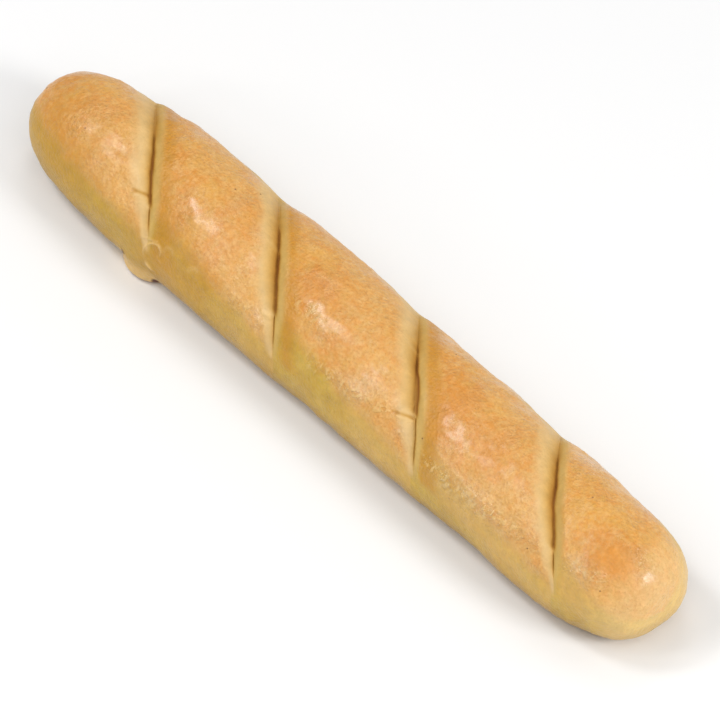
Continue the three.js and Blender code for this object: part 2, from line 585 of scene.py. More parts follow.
@dataclass(frozen=True)
class Fold:
    """A short straight fold of skin, raised where its height is positive and creased where not."""

    start: Triple
    end: Triple
    height: float
    reach: float

    def near(self, places: Array) -> Array:
        """How far the fold stands out.

        Args:
            places: Points in millimetres, one a row.

        Returns:
            Millimetres, one number a point.
        """
        first = np.array(self.start)
        along = np.array(self.end) - first
        share = unit((places - first) @ along / (along @ along))
        away = np.linalg.norm(places - first - share[:, None] * along, axis=1)
        return self.height * hump(away, self.reach)


@dataclass(frozen=True)
class Spot:
    """A round place on the crust."""

    centre: Triple
    radius: float
    strength: float = 1.0

    def near(self, places: Array) -> Array:
        """How near points lie to the spot: its strength there and almost 0 at two radii."""
        away = np.linalg.norm(places - np.array(self.centre), axis=1)
        return self.strength * hump(away, self.radius)


def spots(*rows: Sequence[float]) -> tuple[Spot, ...]:
    """Spots from rows of a centre's x, y and z, a radius and a strength where it isn't 1."""
    return tuple(Spot(row[:3], *row[3:]) for row in rows)


def gathered(marks: Sequence[Spot | Fold], places: Array) -> Array:
    """How much all of the marks put on each point."""
    return sum(mark.near(places) for mark in marks)


@dataclass(frozen=True)
class BakeAndPaintedLight:
    """How the crust's tones lie, with painted shade along the creases and painted light and
    sheen in the pale patches.

    A pair is where a tone begins and how far it takes to come in, for rise.
    """

    patch: float = 9.0
    patch_wander: float = 2.6
    # Painted light on the brows that end each stretch, and painted sheen on the +Y side.
    bloom_and_sheen: tuple[float, float] = (0.3, 0.4)
    bloom_and_sheen_end: float = 150.0
    far_sheen: tuple[float, float] = (1.0, 18.0)
    bloom_and_sheen_share: float = 0.7
    gloss: float = 0.14
    gloss_spread: float = 0.5
    gloss_patch: float = 11.0
    # Painted shade along the creased folds.
    crease_shade: float = 0.35
    blunt: tuple[float, float] = (162.0, 18.0)
    blunt_pale: float = 0.65
    low_pale: float = 0.15
    low: tuple[float, float] = (30.0, -22.0)
    base: tuple[float, float] = (21.0, -17.0)
    underside: tuple[float, float] = (1.6, -1.6)
    deep: tuple[float, float] = (40.0, -200.0)


@dataclass(frozen=True)
class CutColours:
    """How far the colours of a slash's faces reach from its crack."""

    cream: float = 11.5
    # Width of the steep faces, which take painted shade.
    olive: float = 5.8
    out: float = 1.4
    fade: float = 0.85
    least_fade: float = 0.3
    ragged: float = 2.2
    ragged_size: float = 3.4
    near_tip: float = 2.0
    near_tip_fade: float = 12.0
    far_tip: float = 30.5
    far_tip_fade: float = 4.0
    narrowing: float = 0.7
    tip_share: float = 0.2
    crown: tuple[float, float] = (0.02, 0.2)
    amber_at: float = 7.6
    amber_start: float = 3.0
    amber_split: float = 8.0
    amber_fades: tuple[float, float] = (2.6, 5.0)


@dataclass
class Crust:
    """The loaf's crust: one closed mesh, its relief, and the masks that its finish reads."""

    form: LoafForm = LoafForm()
    crack: Crack = Crack()
    shoulder: Shoulder = Shoulder()
    foot: Foot = Foot()
    bake_and_painted_light: BakeAndPaintedLight = BakeAndPaintedLight()
    cut_colours: CutColours = CutColours()
    name: str = "loaf_crust"
    around: int = 192
    rings: int = 440
    fine_steps: int = 20001
    crown_crowding: float = 0.3
    ring_gap: float = 1.0
    cut_gap: float = 0.13
    cut_gap_from: float = 0.8
    cut_gap_reach: float = 12.0
    wander_reach: float = 4.5
    dent: float = 0.45
    dent_size: float = 12.0
    dimple: float = 0.3
    dimple_size: float = 6.5
    pebble: float = 0.2
    pebble_size: float = 3.0
    pit: float = 0.15
    pit_size: float = 2.6
    wall_calm: float = 0.75
    skin_level: tuple[float, float] = (0.3, 4.0)
    sole_level: tuple[float, float] = (1.0, -0.8)
    blisters: tuple[Blister, ...] = (
        Blister((-91.75, -28.4, 24.5), 3.7, 0.5, 0.45, 0.25),
        Blister((-83.6, -27.2, 30.5), 1.9, 0.16, 0.6, 0),
        Blister((-67.8, -28, 32.2), 1.8, 0.2, 0.6, 0.1),
    )
    folds: tuple[Fold, ...] = (
        Fold((-105.9, -16.8, 38.8), (-112.9, -19.8, 38.9), -0.5, 0.7),
        Fold((-105, -18.2, 38), (-111.3, -20.9, 38), 0.3, 0.8),
        Fold((53.9, -17.3, 39), (45.8, -20.9, 38.8), -0.5, 0.7),
        Fold((54.4, -18.5, 38.5), (48.3, -21.3, 38.6), 0.3, 0.8),
        Fold((-31.1, -22.8, 35.4), (-26.6, -22, 34.9), 0.35, 0.8),
        Fold((-99.6, -27.3, 27.1), (-90.9, -26.4, 30.2), 0.4, 0.6),
        Fold((-93.8, -30, 16.5), (-91.5, -30.1, 15.5), 1, 1.1),
        Fold((-88.1, -28.1, 24.6), (-86.1, -28.8, 23.8), 0.4, 0.6),
    )
    # Small raised bumps, which also carry painted glints in their colour.
    bumps: tuple[Spot, ...] = spots(
        (-19.19, -28.73, 23.4, 0.9, 0.45), (-92.2, -30.2, 15.6, 1.3, 0.45),
        (-12.9, -11.3, 45.4, 1.6, 0.35), (49.7, -27.7, 29.3, 0.9, 0.3),
        (57.4, -28.1, 27.6, 0.9, 0.3), (102, 26, 32.2, 0.8, 0.5), (111.17, 24.19, 34.18, 0.8, 0.5),
        (121.32, 22.09, 37.21, 0.8, 0.5),
    )
    swells: tuple[Spot, ...] = spots(
        (-146, 25.5, 31.5, 8, 1.1), (-131.5, 26.3, 32.3, 6, -0.9), (-90, 27, 32.6, 20, 0.8),
        (39, 27, 32.6, 13, -1.1), (145, 25.5, 31.5, 10, -0.8), (100, -27, 7.5, 14, -0.9),
        (-170, -16, 8, 9),
    )
    burnt: tuple[Spot, ...] = spots(
        (-108.4, -29.8, 10.6, 1.2, 0.7), (-92.2, -25.5, 2.6, 1, 0.8),
    )
    finer: tuple[tuple[Spot, ...], ...] = (
        spots(
            (-91.75, -28, 25.5, 7.6), (-109.3, -18.8, 38.5, 5.2), (50, -19.5, 38.8, 5.2),
            (-28.8, -22.4, 35.2, 4), (-114, -27, 4, 4), (-109, -28, 3, 5), (-103, -28, 3, 5),
            (-97, -28, 3, 5), (-92.5, -26.5, 3, 4), (-12.9, -11.3, 45.4, 3),
            (-92, -29.2, 15.2, 3.6),
        ),
        spots((-91.75, -28, 25.5, 6.9), (-92, -29.2, 15.2, 2.8)),
    )
    orange: tuple[Spot, ...] = spots(
        (168, -10.6, 41.2, 10.5), (95, -8, 46, 14, 0.6), (64, -3, 46.5, 11, 0.9),
        (62, -16, 43, 8, 0.6), (-20, -2, 46.5, 11, 0.6), (28, 5, 46, 12, 0.6),
        (-62, 2, 46, 13, 0.7), (-138, 12, 42, 14, 0.5),
    )
    golds: tuple[Spot, ...] = spots(
        (-167, -18, 32, 16, 0.5), (-84, -28, 22, 18, 0.75), (-62, -26, 27, 12, 0.45),
        (-145, -24, 33, 17, 0.5),
    )
    # Painted highlights along the shoulder's glint band and at the blunt end.
    bloom_and_sheen_spots: tuple[Spot, ...] = spots(
        (63, -24.7, 33, 6, 0.6), (75, -25.6, 33, 7, 0.8), (88, -25.5, 31, 10),
        (102, -25.8, 30, 10), (118, -24, 30, 11, 0.8), (28, -21, 38, 8, 0.6),
        (-30, -24, 34, 9, 0.3), (155, -23.5, 33, 8, 0.8), (163, -25.3, 29.5, 11),
    )
    # Crag ridges: bump and gloss, and painted glints in their colour.
    crags: tuple[Fold, ...] = (
        Fold((70, -25.4, 33.2), (84, -25.9, 33.2), 1, 3),
        Fold((84, -25.9, 33.2), (108, -25.2, 34), 0.8, 4),
        Fold((104, -25.4, 33.4), (136, -23.4, 34.6), 0.8, 3.6),
        Fold((0, -25.4, 34.6), (27, -24.6, 35.4), 0.9, 3),
        Fold((27, -24.6, 35.4), (44, -22.6, 37.4), 0.7, 3.2),
        Fold((-19, -13.5, 44.6), (-6, -13.5, 44.8), 0.7, 3),
        Fold((154.5, -21.4, 38), (167.2, -18.8, 37.1), 0.9, 2.8),
        Fold((170.8, -0.2, 42.7), (177.9, -3.4, 39.1), 0.8, 2.4),
        Fold((-46, -25.7, 33.1), (-28.5, -24.2, 33.8), 0.55, 2.2),
    )
    sheens: tuple[Spot, ...] = spots(
        (85, -25.5, 32.2, 6, 0.8), (97, -25.2, 32, 6, 0.8), (109, -24, 32, 6, 0.8),
        (-151, -14, 42, 9, 0.6), (-134, -18.6, 40, 8, 0.5), (-85, -16.7, 41, 9, 0.5),
        (-65.5, -21, 38, 9, 0.5), (-12.1, -11.5, 45.6, 4), (-3, -14.5, 44, 7, 0.5),
        (54.7, -22.5, 36.2, 6, 0.8), (63.2, -24.7, 32.9, 6, 0.8), (73.1, -25.6, 32.9, 7, 0.8),
        (72, -11.6, 45, 8, 0.4), (30, -21, 38, 7, 0.7), (155.5, -21.2, 38, 5),
        (161, -20.2, 37.6, 5), (166.5, -18.9, 37.2, 4, 0.8), (170.8, -0.2, 42.7, 4),
        (177.5, -3, 39.3, 4), (-44, -25.6, 33.2, 6, 0.3), (-30, -24.4, 33.8, 6, 0.6),
    )

    def build(self) -> bpy.types.Object:
        """Makes the crust's object.

        Returns:
            The object, at the origin, with its masks as attributes of its mesh.
        """
        mesh = self.ball()
        station, angle = self.spread(read_vectors(mesh.vertices, "co"))
        station = self.wandered(station, angle)
        places = self.run_out(self.form.place(station, angle, self.cracks))
        set_places(mesh, places)
        points = Points(station, angle, self.form.across(station, angle), places)
        walls = self.walls(points)
        relief = self.relief(points, np.maximum(walls[Dress.CREAM_WALL], walls[Dress.SHADED_WALL]))
        places = places + read_vectors(mesh.vertex_normals, "vector") * relief[:, None]
        places[:, 2] = np.maximum(places[:, 2], 0.0)
        set_places(mesh, places)
        for dress, values in self.masks(replace(points, places=places), walls).items():
            layer = mesh.attributes.new(dress.value, "FLOAT", "POINT")
            layer.data.foreach_set("value", np.ascontiguousarray(values, dtype=np.float32))
        return add_object(mesh)

    def ball(self) -> bpy.types.Mesh:
        """Makes a plain closed ball whose rings and spokes become the crust's.

        Returns:
            Its mesh, finer where the small details come.
        """
        ball = bmesh.new()
        bmesh.ops.create_uvsphere(ball, u_segments=self.around, v_segments=self.rings, radius=1.0)
        for places in self.finer:
            self.refine(ball, places)
        bmesh.ops.recalc_face_normals(ball, faces=ball.faces)
        for face in ball.faces:
            face.smooth = True
        mesh = bpy.data.meshes.new(self.name)
        ball.to_mesh(mesh)
        ball.free()
        return mesh

    def refine(self, ball: bmesh.types.BMesh, details: tuple[Spot, ...]) -> None:
        """Halves the edges near small details, so that the mesh can hold them.

        Args:
            ball: The crust while it is still a ball.
            details: Where the details come on the loaf.
        """
        station, angle = self.spread(np.array([vertex.co for vertex in ball.verts]))
        places = self.form.place(station, angle)
        wanted = np.zeros(len(places), dtype=bool)
        for spot in details:
            wanted |= np.linalg.norm(places - np.array(spot.centre), axis=1) < spot.radius
        ball.verts.index_update()
        edges = [edge for edge in ball.edges if all(wanted[vertex.index] for vertex in edge.verts)]
        bmesh.ops.subdivide_edges(ball, edges=edges, cuts=1, use_grid_fill=True)

    def spread(self, ball: Array) -> tuple[Array, Array]:
        """Turns the ball's vertices into places on the slanted rings.

        Args:
            ball: The vertices, one a row.

        Returns:
            Each one's station and angle.
        """
        ball = ball / np.linalg.norm(ball, axis=1)[:, None]
        down = np.arccos(np.clip(ball[:, 2], -1.0, 1.0)) / math.pi
        station = np.interp(1 - down, np.linspace(0, 1, self.rings + 1), self.ring_stations())
        turn = np.arctan2(-ball[:, 1], ball[:, 0])
        return station, turn - self.crown_crowding * np.sin(turn)

    def ring_stations(self) -> Array:
        """Spaces the rings evenly along the profile's arc, and closer in the cuts.

        Returns:
            Their stations.
        """
        form = self.form
        fine = -form.half * np.cos(np.linspace(0, math.pi, self.fine_steps))
        radius = form.width / 2 * form.section_share(fine)
        arc = np.hypot(np.diff(fine), np.diff(radius))
        middle = (fine[1:] + fine[:-1]) / 2
        gap = np.full_like(middle, self.ring_gap)
        for cut in form.slashes:
            opened = rise(np.abs(middle - cut.at), self.cut_gap_from, self.cut_gap_reach)
            gap = np.minimum(gap, self.cut_gap + (self.ring_gap - self.cut_gap) * opened)
        total = np.concatenate([[0.0], np.cumsum(arc / gap)])
        return np.interp(np.linspace(0, total[-1], self.rings + 1), total, fine)

    def wandered(self, station: Array, angle: Array) -> Array:
        """Moves the rings in a cut so that they follow its wandering crack.

        Args:
            station: Each point's station on the plain rings.
            angle: Its angle.

        Returns:
            The moved stations.
        """
        across = self.form.across(station, angle)
        upper = rise(np.cos(angle), -0.2, 1.0)
        moved = station.copy()
        for cut in self.form.slashes:
            near = hump(station, self.wander_reach, cut.at)
            moved += self.crack.drift(cut, across) * near * upper
        return moved

    def cracks(self, station: Array, across: Array) -> Array:
        """Works out how much deeper the crust lies in the cracks.

        Args:
            station: Each point's station.
            across: Its place across the loaf.

        Returns:
            Millimetres, one number a point.
        """
        deeper = np.zeros_like(station)
        for cut in self.form.slashes:
            line = cut.at + self.crack.drift(cut, across)
            deeper += self.crack.profile(cut, station - line, across)
        return deeper

    def run_out(self, places: Array) -> Array:
        """Draws the foot out of the base of the flank.

        Args:
            places: Points in millimetres, one a row.

        Returns:
            The moved points.
        """
        foot = self.foot
        x, y, z = places.T
        along = np.abs((x - foot.at) / foot.half_length) ** foot.squareness
        round_left = unit(1 - along - (z / foot.height) ** foot.top_power)
        front = foot.middle - foot.reach * np.sqrt(round_left)
        front += foot.curl * unit(1 - z / foot.curl_height) ** 2
        flank = np.where(z > foot.ground, y, foot.flank_edge)
        drawn = -foot.blend * np.logaddexp(0, (flank - front) / foot.blend)
        drawn *= rise(round_left, 0.0, foot.rim_fade)
        outer = rise(y, foot.drawn_from, foot.flank_edge - foot.drawn_from)
        return np.stack([x, y + drawn * outer, z], axis=1)

    def foot_share(self, places: Array) -> Array:
        """How much a point belongs to the foot's stretch of the -Y flank, from 0 to 1."""
        along = np.abs(places[:, 0] - self.foot.at) / self.foot.half_length
        return rise(along, 1.1, -0.3) * (places[:, 1] < self.foot.flank_edge)

    def relief(self, points: Points, wall: Array) -> Array:
        """Works out how far each point stands out of the main form, along its normal.

        Args:
            points: The crust's points.
            wall: Where the cut faces are, from 0 to 1.

        Returns:
            Millimetres, one number a point.
        """
        places = points.places
        level = places[:, 2]
        skin = 1 - self.wall_calm * wall
        raised = self.dent * speckle(places, self.dent_size, 6) * (0.3 + 0.7 * skin)
        raised += self.dimple * speckle(places, self.dimple_size, 1) * skin
        raised += self.pebble * speckle(places, self.pebble_size, 2) * skin
        raised *= rise(level, *self.skin_level)
        raised += self.ledge(points)
        for blister in self.blisters:
            raised += blister.relief(places)
        for mark in self.folds + self.bumps + self.burnt + self.swells:
            raised += mark.near(places)
        lip = hump(level, self.foot.lip_at, self.foot.lip_at)
        raised += self.foot.lip * lip * self.foot_share(places)
        pits = self.pit * unit(speckle(places, self.pit_size, 5))
        return raised - rise(level, *self.sole_level) * pits

    def off_crack(self, cut: Slash, points: Points) -> Array:
        """How far along X points lie from the crack at the bottom of a cut."""
        return points.station - cut.at - self.crack.drift(cut, points.across)

    def walls(self, points: Points) -> dict[Dress, Array]:
        """Finds the cut faces of the slashes.

        Args:
            points: The crust's points.

        Returns:
            Masks of the broad cream walls, of the steep olive walls, which take painted
            shade, and of the amber strips beside those.
        """
        station, angle, across = points.station, points.angle, points.across
        size = self.cut_colours
        upper = rise(np.cos(angle), *size.crown)
        cream, olive, amber = np.zeros((3, len(station)))
        lumpy = np.stack([station, 0.5 * across, angle], axis=1)
        ragged = size.ragged * speckle(lumpy, size.ragged_size, 8)
        for cut in self.form.slashes:
            off = self.off_crack(cut, points)
            left = np.where(across < 0, (across + size.near_tip - cut.tip) / size.near_tip_fade,
                            (size.far_tip - across) / size.far_tip_fade)
            narrow = unit(left) ** size.narrowing
            faded = smooth(narrow / size.tip_share)
            broad = size.cream * narrow
            steep = size.olive * narrow
            far = smooth((off + size.out * broad + ragged) / (size.fade * broad + size.least_fade))
            near = smooth((size.out * steep - off) / (size.fade * steep + size.least_fade))
            beyond = np.abs(off - size.amber_at + 0.8 * ragged) - cut.amber + size.amber_start
            fades = np.where(off < size.amber_split, *size.amber_fades)
            strip = hump(np.maximum(0.0, beyond), fades) * (off > size.amber_start)
            cream = np.maximum(cream, far * (off < 0) * faded)
            olive = np.maximum(olive, near * (off >= 0) * faded)
            amber = np.maximum(amber, strip * faded)
        return {Dress.CREAM_WALL: cream * upper, Dress.SHADED_WALL: olive * upper,
                Dress.AMBER: amber * upper}

    def stretch_share(self, station: Array) -> Array:
        """Finds how far along its stretch between two slashes each point lies.

        Args:
            station: Each point's station.

        Returns:
            A number from 0 to 1 for each point.
        """
        form = self.form
        joints = [-form.half] + [cut.at for cut in form.slashes] + [form.half]
        share = np.zeros_like(station)
        for start, end in zip(joints, joints[1:]):
            inside = (station >= start) & (station <= end)
            share = np.where(inside, (station - start) / (end - start), share)
        return share

    def below_shoulder(self, points: Points) -> Array:
        """Finds how far below the shoulder's ledge each point lies.

        The ledge comes down towards +X on the -Y side, and towards -X on the +Y side.

        Args:
            points: The crust's points.

        Returns:
            Millimetres round the loaf, one number a point.
        """
        share = self.stretch_share(points.station)
        share = np.where(np.sin(points.angle) < 0, share, 1 - share)
        ledge = self.shoulder.start + (self.shoulder.end - self.shoulder.start) * share
        return (np.abs(points.angle) - ledge) * self.shoulder.radius

    def ledge(self, points: Points) -> Array:
        """Shapes the shoulder: a soft swelling above its line and a groove below.

        Args:
            points: The crust's points.

        Returns:
            Millimetres, one number a point.
        """
        shoulder = self.shoulder
        below = self.below_shoulder(points)
        clear = np.ones_like(below)
        for cut in self.form.slashes:
            clear *= 1 - hump(points.station, shoulder.clear_of_cuts, cut.at)
        ends = rise(np.abs(points.station), self.form.half, -shoulder.clear_of_ends)
        swell = shoulder.swell * hump(below, shoulder.swell_reach, shoulder.swell_at)
        groove = shoulder.groove * hump(below, shoulder.groove_reach, shoulder.groove_at)
        return (swell - groove) * clear * ends

    def masks(self, points: Points, walls: dict[Dress, Array]) -> dict[Dress, Array]:
        """Works out the masks that the finish reads.

        Args:
            points: The crust's points.
            walls: The masks of the cut faces.

        Returns:
            Numbers from 0 to 1, one a point, for each mask.
        """
        bake_and_painted_light = self.bake_and_painted_light
        places = points.places
        x, y, z = places.T
        cream, olive, amber = walls.values()
        skin = 1 - 0.6 * np.maximum(cream, olive)
        below = self.below_shoulder(points) + bake_and_painted_light.patch_wander * speckle(places, bake_and_painted_light.patch, 3)
        toast = unit(gathered(self.orange, places))
        amber = unit(amber + gathered(self.golds, places))
        # Painted light on the brows, painted sheen on the +Y side, and painted highlight spots.
        bloom_and_sheen = rise(self.stretch_share(points.station), *bake_and_painted_light.bloom_and_sheen) * (x < bake_and_painted_light.bloom_and_sheen_end)
        bloom_and_sheen = bake_and_painted_light.bloom_and_sheen_share * bloom_and_sheen + bake_and_painted_light.bloom_and_sheen_share * rise(y, *bake_and_painted_light.far_sheen)
        gloss = bake_and_painted_light.gloss + bake_and_painted_light.gloss_spread * speckle(places, bake_and_painted_light.gloss_patch, 4)
        blunt = rise(x, *bake_and_painted_light.blunt) * (1 - 0.8 * toast)
        near_foot = 0.8 * hump(x, self.foot.clean_reach, self.foot.at) * (y < 0)
        return {
            Dress.BROWN: smooth(0.5 - below / (2 * self.shoulder.edge)),
            Dress.CREAM_WALL: cream,
            Dress.SHADED_WALL: olive,
            Dress.AMBER: amber,
            Dress.BLOOM: unit(bloom_and_sheen + gathered(self.bloom_and_sheen_spots, places)) * (1 - 0.7 * toast),
            Dress.DEEP: rise(x, *bake_and_painted_light.deep),
            Dress.FLAKE_AND_GLINT: self.flakes_and_glints(places),
            Dress.CRACK_SHADE: self.darkness(points),
            Dress.TOAST: toast,
            Dress.PALE: unit(blunt * (bake_and_painted_light.blunt_pale + bake_and_painted_light.low_pale * rise(z, *bake_and_painted_light.low))),
            Dress.BASE: rise(z, *bake_and_painted_light.base) * (1 - 0.6 * blunt) * (1 - near_foot),
            Dress.UNDERSIDE: rise(z, *bake_and_painted_light.underside),
            Dress.CRAG: unit(gathered(self.crags, places)) * (1 - np.maximum(cream, olive)),
            Dress.GLAZE: unit(gloss + gathered(self.sheens, places)) * skin * (1 - 0.8 * amber),
        }

    def darkness(self, points: Points) -> Array:
        """Paints shade into the cracks, along the creases beside the slashes and into the gap
        under the foot.

        Args:
            points: The crust's points.

        Returns:
            A number from 0 to 1 for each point.
        """
        form, foot, across, places = self.form, self.foot, points.across, points.places
        upper = form.topside(np.cos(points.angle))
        dark = np.zeros_like(across)
        for cut in form.slashes:
            off = self.off_crack(cut, points)
            dark += self.crack.shade(cut, off, across, form.valley(cut, across)) * upper
        # Painted shade along the creased folds, those whose height is negative.
        for fold in self.folds:
            if fold.height < 0:
                dark += self.bake_and_painted_light.crease_shade * fold.near(places) / fold.height
        dark += foot.shadow * rise(places[:, 2], foot.shadow_top, -0.8) * self.foot_share(places)
        return unit(dark)

    def flakes_and_glints(self, places: Array) -> Array:
        """Finds the thin, pale, lifted skin and the painted light on it: the blister's rim, with a
        painted highlight on its upper side, the foot's lip, painted light over its shade, and
        painted glints on the bumps and raised folds.

        Args:
            places: Points in millimetres, one a row.

        Returns:
            A number from 0 to 1 for each point.
        """
        # The foot's lip: paler crust, painted light over the shade low by the floor.
        lip = rise(places[:, 2], self.foot.lip_top, -self.foot.lip_fade)
        pale = unit(1.1 * lip * self.foot_share(places))
        # The blister's rim: thin pale skin, with a painted highlight on its upper side.
        for blister in self.blisters:
            ring = hump(blister.away(places), 1.2 * blister.rim_width, blister.radius)
            pale = np.maximum(pale, min(0.8, 2 * blister.rim) * blister.upper(places) * ring)
        # Painted glints on the small bumps and the raised folds.
        for bump in self.bumps:
            pale = np.maximum(pale, 1.4 * bump.near(places))
        for fold in self.folds:
            pale = np.maximum(pale, fold.near(places))
        return unit(pale)


def add_object(data: bpy.types.ID) -> bpy.types.Object:
    """Adds an object to the scene.

    Args:
        data: Its mesh, light or camera.

    Returns:
        The object, at the origin and with its data's name.
    """
    made = bpy.data.objects.new(data.name, data)
    bpy.context.scene.collection.objects.link(made)
    return made


def read_vectors(items: Any, name: str) -> Array:
    """Reads a mesh's places or normals.

    Args:
        items: The mesh's vertices or its vertex normals.
        name: What they call their three numbers.

    Returns:
        One vector a row.
    """
    flat = np.zeros(len(items) * 3, dtype=np.float32)
    items.foreach_get(name, flat)
    return flat.reshape(-1, 3).astype(float)


def set_places(mesh: bpy.types.Mesh, places: Array) -> None:
    """Moves a mesh's vertices to points in millimetres."""
    mesh.vertices.foreach_set("co", np.ascontiguousarray(places * MM).ravel())
    mesh.update()


def math_operator(operation: str,
                  swapped: bool = False) -> Callable[["Wire", "Wire | float"], "Wire"]:
    """Makes an operator that adds a Math node.

    Args:
        operation: The node's operation.
        swapped: Whether the operator is the reflected one.

    Returns:
        A method for Wire.
    """
    def apply(wire: "Wire", other: "Wire | float") -> "Wire":
        """The Math node on both values."""
        return wire.graph.maths(operation, *((other, wire) if swapped else (wire, other)))
    return apply


class Wire:
    """A socket's value in shader maths. Operators on it add Math nodes."""

    __add__ = math_operator("ADD")
    __radd__ = math_operator("ADD", swapped=True)
    __sub__ = math_operator("SUBTRACT")
    __rsub__ = math_operator("SUBTRACT", swapped=True)
    __mul__ = math_operator("MULTIPLY")
    __rmul__ = math_operator("MULTIPLY", swapped=True)

    def __init__(self, graph: "Graph", socket: bpy.types.NodeSocket) -> None:
        """Wraps a socket of a graph."""
        self.graph = graph
        self.socket = socket

    def held(self) -> "Wire":
        """The value held between 0 and 1."""
        return self.graph.maths("ADD", self, 0.0, clamp=True)


Value = Wire | float | Sequence[float]


class Graph:
    """A material's nodes, made by one method."""

    def __init__(self, name: str) -> None:
        """Starts a material with no nodes.

        Args:
            name: The material's name.
        """
        self.material = bpy.data.materials.new(name)
        self.material.use_nodes = True
        self.tree = self.material.node_tree
        self.tree.nodes.clear()

    def node(self, kind: str, settings: dict[str, Any],
             sockets: dict[Any, Value]) -> bpy.types.Node:
        """Adds a node.

        Args:
            kind: The node's type.
            settings: Its settings, such as an operation, set first.
            sockets: The values or links of its sockets, by name or number.

        Returns:
            The node.
        """
        made = self.tree.nodes.new(kind)
        for key, value in settings.items():
            setattr(made, key, value)
        for key, value in sockets.items():
            if isinstance(value, Wire):
                self.tree.links.new(value.socket, made.inputs[key])
            else:
                made.inputs[key].default_value = value
        return made

    def wire(self, kind: str, settings: dict[str, Any], sockets: dict[Any, Value],
             output: str | int = 0) -> Wire:
        """Adds a node, as node does, and takes one of its outputs."""
        return Wire(self, self.node(kind, settings, sockets).outputs[output])

    def maths(self, operation: str, *values: Value, clamp: bool = False) -> Wire:
        """A Math node on values."""
        settings = {"operation": operation, "use_clamp": clamp}
        return self.wire("ShaderNodeMath", settings, dict(enumerate(values)))

    def attribute(self, dress: Dress) -> Wire:
        """One of the masks that the mesh carries."""
        return self.wire("ShaderNodeAttribute", {"attribute_name": dress.value}, {}, "Fac")

    def place(self, stretch: Triple = (1.0, 1.0, 1.0), turn: float = 0.0) -> Wire:
        """Object coordinates.

        Args:
            stretch: How much they are scaled along each axis, after the turn.
            turn: How far they are turned about Z, in radians.

        Returns:
            The coordinates.
        """
        place = self.wire("ShaderNodeTexCoord", {}, {}, "Object")
        for name, value in (("Rotation", (0.0, 0.0, turn)), ("Scale", stretch)):
            sockets = {"Vector": place, name: value}
            place = self.wire("ShaderNodeMapping", {"vector_type": "POINT"}, sockets)
        return place

    def noise(self, place: Wire, size: float, detail: float = 2.0, rough: float = 0.5) -> Wire:
        """Soft noise from 0 to 1 whose lumps are so many millimetres wide."""
        sockets = {"Vector": place, "Scale": 1 / (size * MM), "Detail": detail, "Roughness": rough}
        return self.wire("ShaderNodeTexNoise", {"noise_dimensions": "3D"}, sockets, "Fac")

    def cells(self, place: Wire, size: float) -> Wire:
        """The distance to the nearest of scattered points, so many millimetres apart."""
        sockets = {"Vector": place, "Scale": 1 / (size * MM)}
        return self.wire("ShaderNodeTexVoronoi", {"feature": "SMOOTH_F1"}, sockets, "Distance")

    def step(self, value: Wire, low: float, high: float) -> Wire:
        """A smooth step of a value from 0 at low to 1 at high."""
        sockets = {"Value": value, "From Min": low, "From Max": high}
        return self.wire("ShaderNodeMapRange", {"interpolation_type": "SMOOTHSTEP"}, sockets)

    def blend(self, share: Value, first: Value, second: Value, how: str = "MIX") -> Wire:
        """Two colours mixed by a share."""
        sockets = {0: share, 6: opaque(first), 7: opaque(second)}
        return self.wire("ShaderNodeMix", {"data_type": "RGBA", "blend_type": how}, sockets, 2)

    def dots(self, place: Wire, marks: tuple[Spot, ...]) -> Wire:
        """Small round marks.

        Args:
            place: Object coordinates.
            marks: Where they are, and how dark each is.

        Returns:
            Their darkness, from 0 to 1.
        """
        dark: Value = 0.0
        for spot in marks:
            sockets = {0: place, 1: tuple(MM * value for value in spot.centre)}
            away = self.wire("ShaderNodeVectorMath", {"operation": "DISTANCE"}, sockets, "Value")
            dot = 1 - self.step(away, 0.35 * spot.radius * MM, spot.radius * MM)
            dark = self.maths("MAXIMUM", dark, dot * spot.strength)
        return dark

    def finish(self, sockets: dict[str, Value]) -> bpy.types.Material:
        """Ends the material with a Principled shader.

        Args:
            sockets: The values or links of the shader's sockets.

        Returns:
            The material.
        """
        shader = self.node("ShaderNodeBsdfPrincipled", {}, sockets)
        out = self.node("ShaderNodeOutputMaterial", {}, {})
        self.tree.links.new(shader.outputs[0], out.inputs["Surface"])
        return self.material


def opaque(value: Value) -> Value:
    """A colour with its alpha, or a wire as it is."""
    return value if isinstance(value, Wire) else (*value, 1.0)


def paint(*levels: int) -> Triple:
    """Turns a screen colour into the linear colour that a shader takes.

    Args:
        levels: Red, green and blue from 0 to 255.

    Returns:
        The same from 0 to 1, off the sRGB curve.
    """
    shares = (level / 255 for level in levels)
    return tuple(s / 12.92 if s <= 0.04045 else ((s + 0.055) / 1.055) ** 2.4 for s in shares)


